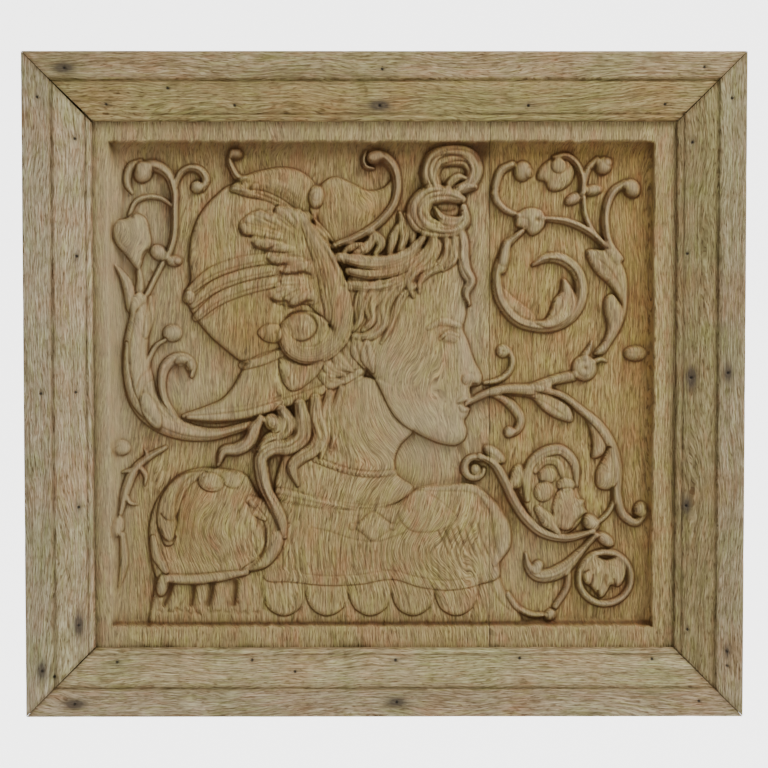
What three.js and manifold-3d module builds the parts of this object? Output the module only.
// Carved wall panel: two oak boards glued edge to edge, carved in low relief inside a sunk field,
// and held in a mitred frame of moulded oak. Millimetres, +Z up, the front faces -Y, the back is y = 0.
import * as THREE from "three";
import { ConvexGeometry } from "three/addons/geometries/ConvexGeometry.js";
import { mergeVertices } from "three/addons/utils/BufferGeometryUtils.js";
import Module from "manifold-3d";

const wasm = await Module();
wasm.setup();

// Driving sizes
const panelWidth = 600;
const panelHeight = 554;
const frameDepth = 34;
const railWidth = 57.5;
const rebateWidth = 9;
const boardFace = 24; // from the back to the flat border round the carving
const recessDepth = 10; // from that border down to the ground of the carving
const reliefHeight = 9; // from the ground up to the highest leaves and locks
const fitGap = 0.3; // between a board and the frame, at the glued joint and at each mitre

// Widths of the flat border that is left round the sunk field
const border = { left: 12.9, right: 17.5, top: 15.8, bottom: 17 };
// How far the hollowed sides of the sunk field reach inward
const cove = { left: 12, right: 14, top: 14, bottom: 6 };

const sight = { x: panelWidth / 2 - railWidth, z: panelHeight / 2 - railWidth };
const recess = {
  left: border.left - sight.x,
  right: sight.x - border.right,
  bottom: border.bottom - sight.z,
  top: sight.z - border.top,
};
const groundY = recessDepth - boardFace;

// The carving is drawn on a sheet that covers a field of this size, from the middle of the panel,
// so that it grows and shrinks with the field.
const sheet = { width: 454.6, height: 406.2, middleX: -2.3, middleZ: 0.6 };
const across = (recess.right - recess.left) / sheet.width;
const upward = (recess.top - recess.bottom) / sheet.height;
const placeX = (x) => (recess.left + recess.right) / 2 + (x - sheet.middleX) * across;
const placeZ = (z) => (recess.bottom + recess.top) / 2 + (z - sheet.middleZ) * upward;
const boardJointX = placeX(88);

// A closed solid from corner points and outward faces, turned round if it came out inside out.
function solid(corners, faces) {
  const volume = faces.reduce((sum, [a, b, c]) => {
    const [p, q, r] = [a, b, c].map((i) => new THREE.Vector3(...corners[i]));
    return sum + p.dot(q.cross(r));
  }, 0);
  const outward = volume > 0 ? faces : faces.map(([a, b, c]) => [a, c, b]);
  const mesh = { numProp: 3, vertProperties: new Float32Array(corners.flat()) };
  mesh.triVerts = new Uint32Array(outward.flat());
  return new wasm.Manifold(new wasm.Mesh(mesh));
}

// A solid through loops of corners that all have the same number of points. The ends are flat and
// are filled by the triangles of the outline that is given in its own plane.
function loft(loops, outline) {
  const count = outline.length;
  const flat = outline.map(([a, b]) => new THREE.Vector2(a, b));
  const faces = [];
  for (let k = 0; k + 1 < loops.length; k++) {
    for (let i = 0; i < count; i++) {
      const [a, b] = [k * count + i, k * count + ((i + 1) % count)];
      faces.push([a, b, b + count], [a, b + count, a + count]);
    }
  }
  const last = (loops.length - 1) * count;
  const clockwise = THREE.ShapeUtils.isClockWise(flat);
  for (const [a, b, c] of THREE.ShapeUtils.triangulateShape(flat, [])) {
    faces.push(clockwise ? [a, b, c] : [a, c, b]);
    faces.push(clockwise ? [last + a, last + c, last + b] : [last + a, last + b, last + c]);
  }
  return solid(loops.flat(), faces);
}

// The smallest solid that wraps all of the given points.
function wrap(points) {
  const hull = new ConvexGeometry(points.map((point) => new THREE.Vector3(...point)));
  hull.deleteAttribute("normal");
  const merged = mergeVertices(hull);
  const at = merged.getAttribute("position");
  const corners = Array.from({ length: at.count }, (_, i) => [at.getX(i), at.getY(i), at.getZ(i)]);
  const index = Array.from(merged.index.array);
  const faces = Array.from({ length: index.length / 3 }, (_, i) => index.slice(3 * i, 3 * i + 3));
  return solid(corners, faces.filter(([a, b, c]) => a !== b && b !== c && c !== a));
}

const square = [[0, 0], [1, 0], [1, 1], [0, 1]];
const rectangle = (x0, x1, z0, z1, y) => [[x0, y, z0], [x1, y, z0], [x1, y, z1], [x0, y, z1]];
const box = (x0, x1, y0, y1, z0, z1) =>
  loft([rectangle(x0, x1, z0, z1, y0), rectangle(x0, x1, z0, z1, y1)], square);

// Moulding of the frame, from the outer edge inward: a flat outer band, a sunk quirk, a wide band
// that falls inward, a thin groove and a bead at the sight edge.
const outerBand = 22.5;
const quirkWidth = 3.4;
const quirkDepth = 2.2;
const wideBandFlat = 7;
const wideBandFall = 3.6; // how much lower the wide band ends than it starts
const beadWidth = 5.8;
const beadGroove = 1.2;
const arris = 1.5; // the worn outer edge
const quirkSide = 0.8; // how far each side of the quirk slopes
const beadSide = 1.2; // and each side of the thin groove
const lipRound = 1.6; // the bead turns down this far from the sight edge,
const lipDrop = 2; // and by this much
const bandStart = outerBand + quirkWidth;
const bandEnd = railWidth - beadWidth;
const bandFront = frameDepth - 0.6;
const beadFront = bandFront - wideBandFall - 0.4;
const rebateFloor = boardFace + fitGap;
// Each point is a distance from the outer edge and a distance in front of the back.
const moulding = [
  [0, 0],
  [0, frameDepth - arris],
  [arris, frameDepth],
  [outerBand, frameDepth],
  [outerBand + quirkSide, frameDepth - quirkDepth],
  [bandStart - quirkSide, frameDepth - quirkDepth],
  [bandStart, bandFront],
  [bandStart + wideBandFlat, bandFront - 0.2],
  [bandEnd - beadSide, bandFront - wideBandFall],
  [bandEnd, bandFront - wideBandFall - beadGroove],
  [bandEnd + beadSide, beadFront],
  [railWidth - lipRound, beadFront - 0.3],
  [railWidth, beadFront - lipDrop],
  [railWidth, rebateFloor],
  [railWidth - rebateWidth, rebateFloor],
  [railWidth - rebateWidth, 0],
];

// One mitred length of the frame, lying along X with its outer edge up at z = 0. Each point of the
// moulding ends on the mitre, less the gap.
function frameLength(length) {
  const end = (side) =>
    moulding.map(([inward, front]) => [side * (length / 2 - inward - fitGap), -front, -inward]);
  return loft([end(-1), end(1)], moulding);
}

// The sunk field: its hollowed sides are a quarter round, steep at the border and flat at the ground.
function sunkField() {
  const steps = 4;
  const level = (inward, depth) =>
    rectangle(
      recess.left + cove.left * inward,
      recess.right - cove.right * inward,
      recess.bottom + cove.bottom * inward,
      recess.top - cove.top * inward,
      depth - boardFace,
    );
  const loops = [level(0, -1)];
  for (let i = 0; i <= steps; i++) {
    const turn = (i / steps) * (Math.PI / 2);
    loops.push(level(1 - Math.cos(turn), recessDepth * Math.sin(turn)));
  }
  return loft(loops, square);
}

// Carver's marks. Each takes places on the sheet and a rise, the share of the full relief it stands up.
const root = 0.8; // how far each form runs down into the ground, so that it is one with it
const sectionTurn = 0.88; // a stroke has a new section after this turn, in radians,
const sectionGap = 40; // or after this length,
const tryGap = 1.5; // and is looked at every so often
const ridgeWidth = 3.2; // a stroke narrower than this is a sharp ridge,
const swellWidth = 11.2; // and one wider than this has shoulders below its top
const smallBud = 8.2; // a bud no longer than this to each side of its middle has six sides
const longBud = 10; // and one longer than this has a swelling wall
const wideMound = 20; // a mound that reaches further than this from its middle has a shoulder
const topY = (rise) => groundY - rise * reliefHeight;
const corner3 = (x, z, y) => [placeX(x), y, placeZ(z)];

// The value of a list of even steps at a share of its length, or the value itself.
function along(values, share) {
  if (!Array.isArray(values)) return values;
  const at = share * (values.length - 1);
  const i = Math.min(Math.floor(at), values.length - 2);
  return values[i] + (values[i + 1] - values[i]) * (at - i);
}

// Points of an arc about a middle, in degrees; a second radius makes it a spiral.
function arc(x, z, radius, from, to, lastRadius = radius) {
  const steps = Math.max(2, Math.ceil(Math.abs(to - from) / 40));
  return Array.from({ length: steps + 1 }, (_, i) => {
    const turn = THREE.MathUtils.degToRad(from + ((to - from) * i) / steps);
    const r = radius + ((lastRadius - radius) * i) / steps;
    return [x + r * Math.cos(turn), z + r * Math.sin(turn)];
  });
}

// A rounded stem, lock or band along a smooth line. Its sections stand where the line has turned
// enough to need one, and each pair of sections is joined by the solid round both. One that is laid
// on another form swells only above that form's level.
function stroke(points, width, rise, level = 0) {
  const places = points.map(([x, z]) => new THREE.Vector3(x, 0, z));
  const line = new THREE.CatmullRomCurve3(places, false, "centripetal");
  const fine = Math.ceil(line.getLength() / tryGap);
  const stations = [];
  let last = null;
  for (let i = 0; i <= fine; i++) {
    const share = i / fine;
    const way = line.getTangentAt(share);
    const point = line.getPointAt(share);
    const turned = last ? way.angleTo(last.way) : Infinity;
    const gone = last ? point.distanceTo(last.point) : Infinity;
    if (turned > sectionTurn || gone > sectionGap || i === fine) {
      last = { point, way, share };
      stations.push(last);
    }
  }
  const sections = stations.map(({ point, way, share }) => {
    const broad = along(width, share);
    const half = broad / 2;
    const top = topY(along(rise, share));
    const foot = topY(Math.min(level, along(rise, share)));
    const shoulder = foot + (top - foot) * 0.62;
    const flat = 0.45 + 0.35 * level;
    const side = (offset, y) => corner3(point.x - way.z * offset, point.z + way.x * offset, y);
    const feet = [side(-half, groundY + root), side(half, groundY + root)];
    if (broad < ridgeWidth) return [...feet, side(0, top)];
    if (broad < swellWidth) return [...feet, side(-flat * half, top), side(flat * half, top)];
    return [...feet, side(-0.82 * half, shoulder), side(0.82 * half, shoulder), side(0, top)];
  });
  return sections.slice(1).map((section, i) => wrap([...sections[i], ...section]));
}

// A low round or long dome, tilted in degrees.
function bud(x, z, halfLong, halfWide, tilt, rise) {
  const turn = THREE.MathUtils.degToRad(tilt);
  const sides = halfLong > smallBud ? 8 : 6;
  const ring = (size, y) =>
    Array.from({ length: sides }, (_, i) => {
      const angle = (i / sides) * 2 * Math.PI;
      const [a, b] = [halfLong * size * Math.cos(angle), halfWide * size * Math.sin(angle)];
      const [cos, sin] = [Math.cos(turn), Math.sin(turn)];
      return corner3(x + a * cos - b * sin, z + a * sin + b * cos, y);
    });
  const part = (share) => groundY + (topY(rise) - groundY) * share;
  const swell = halfLong > longBud ? ring(0.9, part(0.6)) : [];
  return [wrap([...ring(1, groundY + root), ...swell, ...ring(0.5, part(1))])];
}
const ball = (x, z, radius, rise) => bud(x, z, radius, radius, 0, rise);

// A domed mass with a drawn outline, seen whole from its middle: a wall up to the edge share of the
// rise, then a swell to the full rise at the middle.
function mound(outline, middle, rise, edge = 0.55) {
  const full = topY(rise) - groundY;
  const reach = Math.max(...outline.map(([x, z]) => Math.hypot(x - middle[0], z - middle[1])));
  const profile = [
    [1, groundY + root],
    [0.985, groundY + full * edge],
  ];
  if (reach > wideMound) profile.push([0.6, groundY + full * (edge + (1 - edge) * 0.8)]);
  const toward = (share, from, to) => to + (from - to) * share;
  const corners = profile.flatMap(([share, y]) =>
    outline.map(([x, z]) => corner3(toward(share, x, middle[0]), toward(share, z, middle[1]), y)),
  );
  const count = outline.length;
  const base = corners.length;
  corners.push(corner3(...middle, groundY + root), corner3(...middle, groundY + full));
  const faces = [];
  for (let i = 0; i < count; i++) {
    const j = (i + 1) % count;
    faces.push([base, j, i]);
    for (let k = 0; k + 1 < profile.length; k++) {
      const [a, b] = [k * count + i, k * count + j];
      faces.push([a, b, b + count], [a, b + count, a + count]);
    }
    faces.push([base - count + i, base - count + j, base + 1]);
  }
  return [solid(corners, faces)];
}

// A leaf with rounded lobes about its middle.
function lobedLeaf(x, z, radius, lobes, tilt, rise) {
  const steps = lobes * 3;
  const outline = Array.from({ length: steps }, (_, i) => {
    const turn = (i / steps) * 2 * Math.PI;
    const reach = radius * (0.86 + 0.14 * Math.cos(lobes * turn));
    const angle = turn + THREE.MathUtils.degToRad(tilt);
    return [x + reach * Math.cos(angle), z + reach * Math.sin(angle)];
  });
  return mound(outline, [x, z], rise);
}

// Upper left: a stem that parts into two curls, a heart-shaped flower hung from a thin stalk, and
// the leaves below them.
function upperLeftSpray() {
  return [
    stroke(
      [[-184, 106], [-177, 120], [-175, 150], [-177, 166], [-186, 181], [-199, 186], [-207, 182]],
      [4, 6, 5, 5, 7, 8, 4],
      0.6,
    ),
    stroke(arc(-204, 173.5, 12.5, 75, 235), [3, 5, 2], 0.35),
    bud(-202, 177.5, 8.5, 6.5, 70, 0.65),
    stroke([[-176, 163], [-171, 175], ...arc(-156.5, 173, 9.5, 125, -90)], [3, 4, 5.5, 6, 5], 0.5),
    ball(-156, 167, 6, 0.6),
    stroke([[-178, 147], [-186, 156], [-198, 158.5], [-208, 154], [-213.5, 143]], [3, 3.5, 4, 3], 0.45),
    mound(
      [
        [-213, 142], [-223, 139], [-228, 131], [-226, 121], [-217, 110], [-206, 98.5], [-200, 112],
        [-196, 123], [-199, 136], [-206, 146],
      ],
      [-211, 126],
      0.62,
    ),
    bud(-190, 112, 7.5, 6, -40, 0.58),
    bud(-176, 104, 7, 4, 0, 0.4),
    stroke([[-184, 106], [-192, 90], [-207, 66]], [5, 4, 4], 0.5),
    stroke([[-226, 103], [-217, 87], [-211, 66]], [1, 9, 9], 0.5),
    stroke([[-204, 96], [-205, 84], [-209, 68]], [1, 6, 4], 0.4),
  ];
}

// Left: the broad stem that sweeps down and passes under the helmet, its C-shaped tendril, a leaf
// laid on it and a berry on a stalk.
function leftScroll() {
  return [
    stroke(
      [
        [-205, 68], [-207, 52], [-210, 32], [-207, 8], [-201, -12], [-190, -26], [-172, -37],
        [-150, -41], [-112, -33],
      ],
      [10, 19, 19, 22, 24, 20, 12, 8, 7],
      [0.5, 0.6, 0.62, 0.6, 0.5, 0.4],
    ),
    stroke([[-197, 73], [-198, 60], [-203, 44]], [2, 6, 4], 0.5),
    stroke(
      [[-177, -24], [-186, -8], [-186, 10], ...arc(-171, 12, 11.5, 135, -20)],
      [2, 6, 6, 7, 8, 8, 3],
      0.55,
    ),
    bud(-195, -20, 15, 5.5, -70, 0.78),
    bud(-178, 44, 8, 7, 0, 0.45),
    stroke([[-184, 38], [-193, 32], [-200, 20]], [2, 3, 3], 0.4),
  ];
}

// Lower left: a thorny stem that hangs, with a bud, a leaf and a berry.
function lowerLeftSpray() {
  return [
    bud(-222, -52, 8.5, 6.5, 0, 0.42),
    stroke([[-184, -52], [-200, -61], [-211, -74], [-218, -90], [-225, -110]], [3, 6, 8, 8, 5], 0.48),
    stroke([[-207, -72], [-200, -84]], [4, 1], 0.35),
    stroke([[-217, -94], [-207, -100]], [4, 1], 0.35),
    stroke([[-210, -70], [-221, -73]], [4, 1], 0.35),
    bud(-226, -118, 9, 5.5, 80, 0.55),
    stroke([[-222, -124], [-220, -146], [-227, -173]], [5, 8, 1], 0.48),
  ];
}

// The helmet: a domed skull, the cords wrapped round it, the rim and the neck guard with its lip.
function helmet() {
  const skull = [
    [-128, 167], [-142, 158], [-154, 144], [-161, 126], [-163, 106], [-163, 85], [-168, 77], [-163, 65],
    [-150, 46], [-134, 32], [-117, 20], [-88, 31], [-60, 40], [-40, 60], [-35, 92], [-45, 122],
    [-70, 145], [-100, 158],
  ];
  const guard = [
    [-117, 19], [-126, 2], [-136, -9], [-150, -18], [-168, -25], [-150, -30], [-120, -28], [-92, -21],
    [-60, -10], [-38, -1], [-18, 10], [-18, 26], [-50, 36], [-88, 30],
  ];
  const cords = [0, 1, 2].map((i) =>
    stroke(
      [
        [-164 + 3.5 * i, 79 - 10 * i], [-146 + 3 * i, 91 - 10 * i], [-124, 101 - 9 * i],
        [-96 + 3 * i, 107 - 8 * i],
      ],
      [7, 9, 9, 8],
      0.9 - 0.03 * i,
      0.72,
    ),
  );
  return [
    mound(skull, [-100, 92], 0.78, 0.5),
    mound(guard, [-88, 4], 0.62, 0.6),
    stroke(
      [[-168, -25], [-146, -26.5], [-120, -24], [-92, -17], [-60, -6], [-38, 3], [-22, 12]],
      [3, 7, 8, 8, 8, 6],
      0.7,
      0.5,
    ),
    stroke([[-118, 17.5], [-104, 20], [-84, 29.5]], 6, 0.76, 0.6),
    ...cords,
  ];
}

// The crest: two leaf-like lobes with a bead between them, a curl at each end and a rolled rim.
function crest() {
  return [
    stroke([[-116, 169], [-125, 176], [-130, 186], [-129, 194]], [6, 5, 5, 4], 0.6),
    ball(-124, 193, 6, 0.62),
    mound(
      [
        [-128, 165], [-112, 174], [-95, 180], [-80, 181], [-68, 177], [-58, 168], [-55, 156],
        [-60, 140], [-78, 146], [-100, 155],
      ],
      [-82, 163],
      0.72,
      0.6,
    ),
    stroke([[-126, 165], [-100, 158.5], [-80, 149], [-64, 136]], [4, 6, 6, 4], 0.84, 0.7),
    bud(-57, 158, 8.5, 5.5, 85, 0.84),
    mound(
      [
        [-53, 168], [-40, 174], [-28, 170], [-10, 162], [2, 166], [9, 170], [10, 156], [0, 140],
        [-15, 131], [-42, 119], [-58, 134], [-62, 150],
      ],
      [-28, 148],
      0.68,
      0.62,
    ),
    stroke(
      [[-43, 117], [-20, 125.5], [-2, 138], [9, 154], [10.5, 174], [4, 188], [-5, 193]],
      [4, 6, 6, 6, 6, 6, 5],
      0.8,
      0.55,
    ),
    ball(-8, 190, 6.5, 0.78, 0.6),
    stroke(arc(-7, 189, 9, 150, 260), [2, 3, 2], 0.55),
  ];
}

// The wing of acanthus that rises from the volute: lobes down its left side, and ribs that gather
// into the stem.
function plume() {
  const outline = [
    [-72, 146], [-88, 149], [-105, 147], [-118, 140], [-121, 131], [-110, 126], [-112, 118],
    [-100, 113],
    [-97, 104], [-88, 99], [-86, 92], [-90, 84], [-96, 78], [-91, 71], [-80, 67], [-68, 69], [-58, 60],
    [-40, 50], [-29, 60], [-30, 78], [-36, 96], [-46, 115], [-58, 132],
  ];
  const ribs = [
    [[-113, 135], [-94, 137], [-74, 128], [-56, 108], [-44, 82], [-41, 56]],
    [[-105, 119], [-88, 119], [-70, 108], [-56, 88], [-49, 64]],
    [[-92, 104], [-78, 102], [-65, 90], [-56, 70]],
    [[-84, 87], [-72, 86], [-60, 76]],
    [[-92, 77], [-78, 74], [-64, 72]],
  ];
  return [
    mound(outline, [-62, 95], 0.86, 0.78),
    ...ribs.map((rib) => stroke(rib, [10, 15, 14, 11, 7], [0.92, 1, 0.98], 0.82)),
    stroke([[-64, 138], [-50, 120], [-40, 100], [-33, 78], [-31, 56]], [5, 8, 8, 8, 8], 1, 0.82),
    stroke(
      [[-32, 70], [-32, 46], ...arc(-62, 45, 21, -25, -255, 16)],
      [14, 15, 14, 13, 12, 11, 10, 5],
      0.98,
      0.7,
    ),
    ball(-68, 48.5, 10.5, 0.95),
    bud(-97, 44, 9, 7, 0, 0.86),
    mound(
      [[-87, 22], [-87, 9], [-83, 0], [-78, -4], [-66, 2], [-56, 9], [-51, 20], [-64, 22]],
      [-70, 11],
      0.84,
      0.75,
    ),
  ];
}

// Small leaves between the volute and the ear.
function leavesBelowPlume() {
  return [
    stroke([[-49, 20], [-42, 14], [-35, 10]], [3, 8, 2], 0.8),
    stroke([[-40, 27], [-34, 20], [-27, 12]], [3, 9, 2], 0.84),
    stroke([[-30, 36], [-25, 26], [-24, 15]], [3, 7, 2], 0.78),
    stroke([[-18, 30], [-22, 20], [-15, 8]], [3, 6, 2], 0.72),
  ];
}

// The bands that bind the hair, the knot of hair in two loops and the locks that leave it.
function hairKnot() {
  return [
    stroke([[-39, 107], [-20, 103.5], [0, 103.5], [18, 110], [32, 121]], [8, 12, 12, 9, 5], 0.78, 0.5),
    stroke([[-32, 96], [-12, 93.5], [6, 95.5], [24, 105], [38, 120]], [6, 8, 8, 6, 5], 0.74, 0.5),
    stroke([[-28, 86], [-8, 85.5], [12, 90], [30, 102], [44, 120]], [5, 8, 8, 6, 5], 0.76, 0.6),
    stroke([[-30, 113], [-20, 121], [-11, 124], [-8, 114]], [4, 9, 8, 3], 0.62),
    stroke([[2, 112], [8, 120], [10, 132], [16, 148]], [6, 10, 8, 3], 0.55),
    stroke([[64, 157], ...arc(45, 147, 20, 75, 375)], [8, 12, 13, 14, 13, 12, 9], 0.9),
    stroke(arc(53, 149, 11, 190, 350), [3, 6, 3], 0.82),
    stroke([[37, 167], ...arc(57, 179, 18, 190, -60)], [8, 10, 11, 12, 12, 9], 0.84),
    stroke([[49, 160], [54, 171], [66, 177]], [5, 7, 4], 0.76),
    stroke([[38, 127], [38, 115], [30, 104], [20, 95], [19, 80]], [8, 9, 8, 7, 3], 0.86, 0.6),
    stroke([[48, 128], [51, 114], [44, 102], [32, 95], [27, 80]], [8, 8, 8, 7, 3], 0.84, 0.6),
    stroke([[61, 129], [61, 114], [67, 101], [66, 86], [69, 74]], [9, 10, 11, 10, 3], 0.88, 0.6),
  ];
}

// Waved hair at the temple, below the bands.
function templeHair() {
  return [
    stroke([[4, 88], [-12, 79], [-18, 66], [-17, 50]], [8, 12, 11, 4], 0.84, 0.6),
    stroke([[14, 88], [0, 78], [-6, 64], [-3, 46]], [8, 12, 11, 5], 0.84, 0.6),
    stroke([[22, 86], [11, 76], [7, 62], [10, 50]], [6, 10, 9, 3], 0.82, 0.6),
    stroke([[-28, 43], [-14, 45], [-2, 41], [4, 30]], [4, 9, 8, 3], 0.84, 0.6),
  ];
}

// The face is a plain classical one, set out by thirds: hairline, brow, base of the nose, chin.
function face() {
  const hairline = 98;
  const chin = -49;
  const third = (hairline - chin) / 3;
  const front = 66;
  const at = (forward, thirdsDown) => [front + forward * third, hairline - thirdsDown * third];
  const profile = [
    at(0, 0), at(0.05, 0.45), at(0.01, 0.93), at(0.03, 1.1), at(0.2, 1.6), at(0.33, 1.88),
    at(0.3, 1.98), at(0.1, 2.02),
    at(0.14, 2.2), at(0.09, 2.32), at(0.12, 2.44), at(0.03, 2.58), at(0.07, 2.8), at(-0.02, 2.97),
    at(-0.18, 3.03),
    at(-0.6, 2.95), at(-1.0, 2.75),
  ];
  const head = [...profile, [-10, 12], [-30, 30], [-34, 84], [-20, 100], [20, 108], [58, 116]];
  return [
    mound(head, [18, 48], 0.72, 0.72),
    // brow, eyelids, cheek, wing of the nose, lips and chin
    stroke([at(-0.52, 1.0), at(-0.28, 0.9), at(-0.04, 0.98)], [3, 5, 3], 0.83),
    bud(...at(-0.28, 1.13), 6, 3.6, -4, 0.84),
    bud(...at(-0.55, 1.7), 13, 11, 60, 0.8),
    bud(...at(0.1, 1.9), 4, 3.2, 30, 0.83),
    bud(...at(0.02, 2.22), 5, 2.2, -8, 0.8),
    bud(...at(0.01, 2.42), 4.6, 2.4, 8, 0.8),
    bud(...at(-0.1, 2.82), 6, 5.5, 0, 0.8),
  ];
}

// The neck, and the locks that fall from under the helmet on to it.
function neckAndLocks() {
  const neck = [
    [-60, -10], [-20, 10], [14, -4], [24, -38], [9, -56], [9, -72], [22, -86], [0, -102], [-40, -102],
    [-90, -90], [-84, -60],
  ];
  return [
    mound(neck, [-28, -52], 0.62, 0.62),
    stroke([[-107, -49], [-124, -53], [-136, -57], [-139, -67]], [8, 8, 7, 3], 0.62),
    stroke(
      [[-96, -27], [-107, -40], [-105, -56], [-102, -74], [-95, -92], [-88, -108], [-85, -126]],
      [8, 11, 11, 10, 10, 9, 2],
      0.84,
      0.4,
    ),
    stroke([[-66, -50], [-80, -53.5], [-96, -54], [-104, -63]], [9, 11, 9, 5], 0.82, 0.4),
    stroke([[-84, -22], [-81, -34], [-88, -44], [-101, -47]], [9, 11, 9, 5], 0.78, 0.4),
    stroke([[-72, -17], [-68, -32], [-73, -46]], [9, 13, 9], 0.8, 0.5),
    stroke([[-57, -12], [-58, -36], [-62, -52], [-76, -64], [-73, -82]], [9, 11, 11, 10, 2], 0.86, 0.5),
    stroke([[-46, -9], [-50, -26], [-51, -48], [-60, -62]], [7, 9, 9, 4], 0.8, 0.55),
    stroke([[-37, -4], [-43, -20], [-43, -44]], [6, 8, 2], 0.76, 0.55),
  ];
}

// The shoulder piece on the left: a swelling plate edged by two leaf volutes, a band, and the
// slanting strips that hang below it.
function shoulderPiece() {
  const plate = [
    [-138, -70], [-158, -71], [-172, -76], [-184, -88], [-193, -102], [-198, -122], [-196, -145],
    [-193, -160],
    [-150, -160], [-120, -158], [-98, -150], [-87, -134], [-86, -116], [-95, -101], [-106, -94],
    [-116, -80],
  ];
  const strips = [
    [[-180, -166], [-190, -195]],
    [[-162, -167], [-169, -195]],
    [[-144, -167], [-150, -195]],
    [[-126, -163], [-124, -195]],
  ];
  return [
    mound(plate, [-142, -116], 0.84, 0.42),
    stroke(
      [[-158, -73], [-172, -82], [-182, -96], [-186, -110], [-186, -122]],
      [4, 10, 14, 17, 15],
      0.86,
      0.6,
    ),
    stroke([[-194, -124], [-193, -140], [-186, -162]], [4, 7, 6], 0.66),
    bud(-145, -82, 9, 7, 0, 0.9),
    stroke(
      [[-110, -100], [-98, -106], [-92, -124], [-96, -141], [-106, -151]],
      [6, 12, 14, 12, 4],
      0.86,
      0.6,
    ),
    stroke([[-181, -162], [-150, -162], [-124, -158.5], [-101, -153]], 6.5, 0.78, 0.6),
    mound(
      [[-190, -162], [-146, -166], [-103, -156], [-106, -196], [-150, -197], [-198, -196]],
      [-148, -181],
      0.52,
      0.8,
    ),
    bud(-185, -168, 8, 5, 80, 0.66),
    stroke([[-192, -160], [-195, -176], [-201, -192]], [7, 6, 3], 0.56),
    ...strips.map((strip) => stroke(strip, [11, 15], 0.64, 0.4)),
  ];
}

// The bust: the swell of the chest, the neckline, a lozenge, a petal on the breast, the far
// shoulder, and the hem with its round tabs.
function bust() {
  const chest = [
    [-90, -90], [-50, -98], [-12, -104], [12, -98], [28, -87], [52, -84.5], [74, -84], [86, -93],
    [101, -107],
    [108, -122], [107, -136], [98, -151], [102, -172], [108, -190], [60, -190], [-104, -190],
    [-104, -160], [-90, -124],
  ];
  const tabPitch = 36.6;
  const tabs = [0, 1, 2, 3, 4].map((i) => {
    const x = -86 + i * tabPitch;
    const half = tabPitch * 0.47;
    return mound(
      [
        [x - half, -166], [x + half, -166], [x + half, -181], [x + half * 0.65, -190], [x, -195],
        [x - half * 0.65, -190], [x - half, -181],
      ],
      [x, -179],
      0.66,
      0.75,
    );
  });
  return [
    mound(chest, [4, -140], 0.66, 0.7),
    ...tabs,
    stroke([[-90, -90], [-50, -98], [-12, -104], [10, -98], [26, -87]], 5, 0.78, 0.6),
    mound([[-10, -106], [5, -118], [-10, -130], [-24, -118]], [-10, -118], 0.78, 0.85),
    mound(
      [[28, -88], [44, -93], [54, -102], [61, -112], [48, -120], [26, -121], [18, -104]],
      [38, -106],
      0.78,
      0.8,
    ),
    stroke([[30, -87], [56, -86], [74, -87], [84, -97]], [4, 7, 8, 3], 0.76, 0.5),
    stroke([[86, -98], [98, -110], [100, -126], [97, -142], [90, -151]], [4, 13, 16, 13, 4], 0.78, 0.5),
    stroke([[94, -150], [98, -164], [106, -184]], [4, 9, 4], 0.58),
    stroke([[-92, -158], [-60, -163], [-20, -162], [12, -162.5], [50, -168], [86, -160]], 8, 0.78, 0.6),
    stroke([[-48, -64], [-30, -72], [-6, -74.5], [9, -72]], 4, 0.74, 0.6),
  ];
}

// The stem that leaves the lips and parts into the two scrolls on the right.
function mouthStem() {
  return [
    stroke([[68, -14], [80, -6], [98, -3], [118, -2], [136, -1]], [3, 7, 9, 9, 6], [0.72, 0.6, 0.55]),
    stroke([[92, 0], ...arc(99, 18, 14, -70, 100)], [5, 6, 5, 4], 0.5),
    ball(99, 29.5, 6, 0.55),
    stroke([[96, -7], ...arc(100, -28, 15.5, 75, -40), [106, -43]], [4, 7, 7, 4], 0.5),
    ball(106.5, -40, 5, 0.55),
    stroke([[128, -1], [145, 6], [158, 10]], [5, 6, 8], 0.52),
    stroke([[112, -6], [128, -10], [146, -19], [160, -27]], [3, 12, 16, 3], 0.55),
  ];
}

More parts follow.
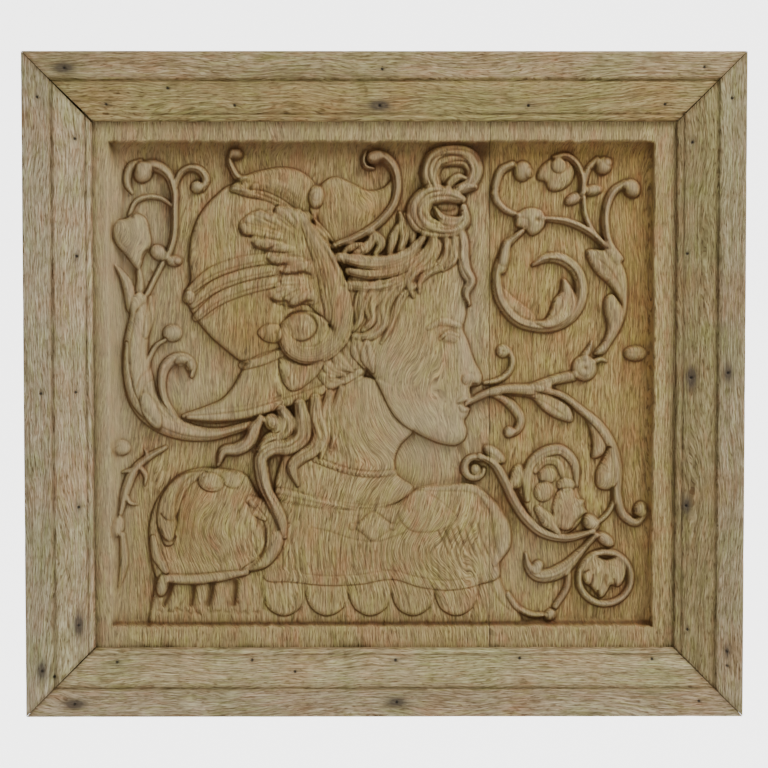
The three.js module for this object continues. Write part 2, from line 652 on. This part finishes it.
// Upper right: the knot, its sheath leaf and stem, the great spiral, and the sprays above it.
function upperRightScroll() {
  return [
    ball(168, 14.5, 11, 0.68),
    stroke([[171, 22], [176, 38]], [7, 1], 0.5),
    stroke([[176, 24], [187, 36], [193, 52], [191, 66], [187, 75]], [6, 13, 15, 12, 2], 0.7),
    stroke(
      [[197, 46], [200.5, 64], [199, 82], [192, 99], [180, 110], [168, 114]],
      [5, 8, 12, 19, 14, 2],
      0.6,
    ),
    stroke([[195, 108], [182, 121], [166, 134], [150, 139], [135, 139]], [5, 6, 6, 5, 3], 0.6),
    stroke([[190, 116], [176, 132], [168, 148], [166, 161]], [4, 5, 5, 4], 0.55),
    stroke(
      [[196, 108], [188, 122], [185.5, 140], [188, 157], [196, 167.5], [204, 169]],
      [5, 7, 7, 7, 7, 4],
      0.6,
    ),
    ball(208, 164, 8, 0.7),
    bud(159, 157, 8, 5, 20, 0.5),
    bud(175, 164, 8, 5.5, 10, 0.5),
    stroke([[165, 162], [166, 173], [161, 186], [150, 193], [140, 191]], [4, 5, 5, 5, 2], 0.58),
    mound(
      [
        [141, 190], [131, 187], [128, 178], [134, 171], [139, 165], [147, 163], [154, 168], [157, 178],
        [152, 188],
      ],
      [143, 178],
      0.55,
    ),
    ball(146, 182, 7, 0.68),
    stroke([[166, 162], [167, 173], [173, 184], [185, 189]], [4, 5, 5, 3], 0.55),
    ball(184, 181.5, 7.5, 0.68),
    stroke(
      [[116, 142], [100, 148.5], [93, 160], [94, 174], [102, 184], [113, 186]],
      [4, 6, 6, 6, 6, 4],
      0.55,
    ),
    ball(115.5, 179.5, 7.5, 0.68),
    ball(124, 139, 9.5, 0.68),
    stroke(
      [
        [119, 133], [105, 120], [96, 102], [94, 84], [99, 68], [111, 54], [128, 49], [146, 52],
        [158, 64], [162, 80], [157, 96], [145, 106], [133, 106], [124, 100],
      ],
      [4, 7, 8, 9, 9, 8, 7, 8, 9, 9, 10, 11, 8, 2],
      [0.6, 0.6, 0.62, 0.6, 0.6],
    ),
    stroke([[134, 51], [145, 61], [149, 73], [151, 88]], [5, 14, 12, 2], 0.58),
    stroke([[108, 126], [101, 110], [100, 95]], [3, 7, 3], 0.5),
    bud(211, 27, 10, 6.5, 0, 0.5),
  ];
}

// Lower right: the stem that falls and curls, the horn of leaves and the rosette.
function lowerRightScroll() {
  return [
    stroke(
      [
        [130, -2], [150, -9], [166, -21], [181, -34], [191, -50], [195.5, -70], [195, -94], [201, -110],
        [213, -114], [221, -105],
      ],
      [5, 6, 7, 8, 8, 8, 7, 6, 6, 4],
      0.6,
    ),
    ball(215.5, -104, 6, 0.65),
    mound([[170, -27], [173, -40], [176, -60], [183, -57], [188, -47], [184, -36]], [179, -46], 0.5),
    mound(
      [[188, -54], [181, -66], [178, -77], [182, -86], [192, -84], [196, -74], [195, -62]],
      [187, -72],
      0.66,
    ),
    stroke([[195, -96], [190, -106], [179, -116]], [3, 4, 4], 0.5),
    bud(174, -116, 8, 6.5, -60, 0.64),
    bud(187, -130, 9, 5, -35, 0.64),
    stroke(arc(187, -162, 21.5, -260, 100), 5, 0.6),
    lobedLeaf(185.5, -160, 17, 5, 55, 0.55),
    stroke(
      [[178, -126], [160, -143], [148, -157], [134, -162], [121, -154], [120, -143]],
      [4, 5, 10, 10, 6, 2],
      0.55,
    ),
    ball(130, -153.5, 6, 0.64),
    stroke([[155, -154], [156, -169], [143, -188]], [4, 5, 3], 0.48),
    ball(141, -194, 5, 0.5),
    stroke(
      [[86, -63], [98, -75], [106, -93], [116, -110], [133, -124.5], [152, -128], [174, -121]],
      [5, 8, 10, 9, 6, 5, 3],
      0.68,
    ),
    stroke(arc(75, -69.5, 9, 40, 330), [5, 6, 6, 4], 0.7),
    ball(77.5, -70.5, 5.5, 0.72),
    bud(92, -59, 11, 5, -35, 0.55),
    bud(110, -75, 9, 6, 72, 0.6),
    mound(
      [
        [112, -84], [117, -68], [128, -55], [146, -51], [160, -60], [163, -74], [161, -90], [168, -102],
        [160, -120], [142, -127], [126, -114], [117, -98],
      ],
      [140, -90],
      0.52,
      0.8,
    ),
    stroke(
      [[114, -82], [119, -66], [131, -56], [148, -54], [160, -65], [159, -84]],
      [5, 8, 8, 8, 8, 5],
      0.76,
      0.4,
    ),
    stroke([[128, -66], [138, -60], [147, -66], [146, -76]], [5, 7, 7, 4], 0.72, 0.5),
    ball(136, -76, 7.5, 0.68),
    ball(133, -89, 7.5, 0.66),
    stroke([[127, -103], [138, -113], [149, -124]], [6, 13, 3], 0.7),
    ball(151, -84, 6.5, 0.72),
    lobedLeaf(154, -102, 15.5, 5, 20, 0.78),
  ];
}

const carving = [
  upperLeftSpray, leftScroll, lowerLeftSpray, helmet, crest, plume, leavesBelowPlume, hairKnot, templeHair,
  face, neckAndLocks, shoulderPiece, bust, mouthStem, upperRightScroll, lowerRightScroll,
].flatMap((motif) => motif().flat());

const boardHalf = {
  x: panelWidth / 2 - railWidth + rebateWidth - fitGap,
  z: panelHeight / 2 - railWidth + rebateWidth - fitGap,
};
const blank = box(-boardHalf.x, boardHalf.x, -boardFace, 0, -boardHalf.z, boardHalf.z);
const carvedBlank = wasm.Manifold.union([blank.subtract(sunkField()), ...carving]);

// One of the two boards: the part of the carved blank on its side of the glued joint, freed of the
// slivers that the crossing forms leave.
const sliver = 0.4;
const spare = 1; // how far the cutting box stands past the blank
function board(x0, x1) {
  const side = box(x0, x1, -frameDepth, spare, -boardHalf.z - spare, boardHalf.z + spare);
  const bodies = carvedBlank.intersect(side).simplify(sliver).decompose();
  return bodies.sort((a, b) => b.volume() - a.volume())[0];
}

// A named piece, whose own origin is at the given x of the form.
function piece(name, form, color, roughness, originX = 0) {
  const made = form.getMesh();
  const geometry = new THREE.BufferGeometry();
  geometry.setAttribute("position", new THREE.BufferAttribute(made.vertProperties, 3));
  geometry.setIndex(new THREE.BufferAttribute(made.triVerts, 1));
  geometry.translate(-originX, 0, 0);
  const mesh = new THREE.Mesh(geometry, new THREE.MeshStandardMaterial({ color, roughness, metalness: 0 }));
  mesh.name = name;
  return mesh;
}

const frame = new THREE.Group();
function addLength(name, length, x, z, turn, color) {
  const mesh = piece(name, frameLength(length), color, 0.85);
  mesh.position.set(x, 0, z);
  mesh.rotation.y = turn;
  frame.add(mesh);
}
addLength("frame_top_rail", panelWidth, 0, panelHeight / 2, 0, 0x958468);
addLength("frame_bottom_rail", panelWidth, 0, -panelHeight / 2, Math.PI, 0x9b8c6e);
addLength("frame_left_stile", panelHeight, -panelWidth / 2, 0, -Math.PI / 2, 0x9e8f76);
addLength("frame_right_stile", panelHeight, panelWidth / 2, 0, Math.PI / 2, 0x8e7e62);

// The boards are placed from the joint between them.
const boards = new THREE.Group();
boards.position.x = boardJointX;
const leftBoard = board(-boardHalf.x - spare, boardJointX - fitGap / 2);
const rightBoard = board(boardJointX + fitGap / 2, boardHalf.x + spare);
boards.add(piece("panel_board_left", leftBoard, 0x978464, 0.8, boardJointX));
boards.add(piece("panel_board_right", rightBoard, 0x907a50, 0.8, boardJointX));

const group = new THREE.Group();
group.add(frame, boards);

export default group;
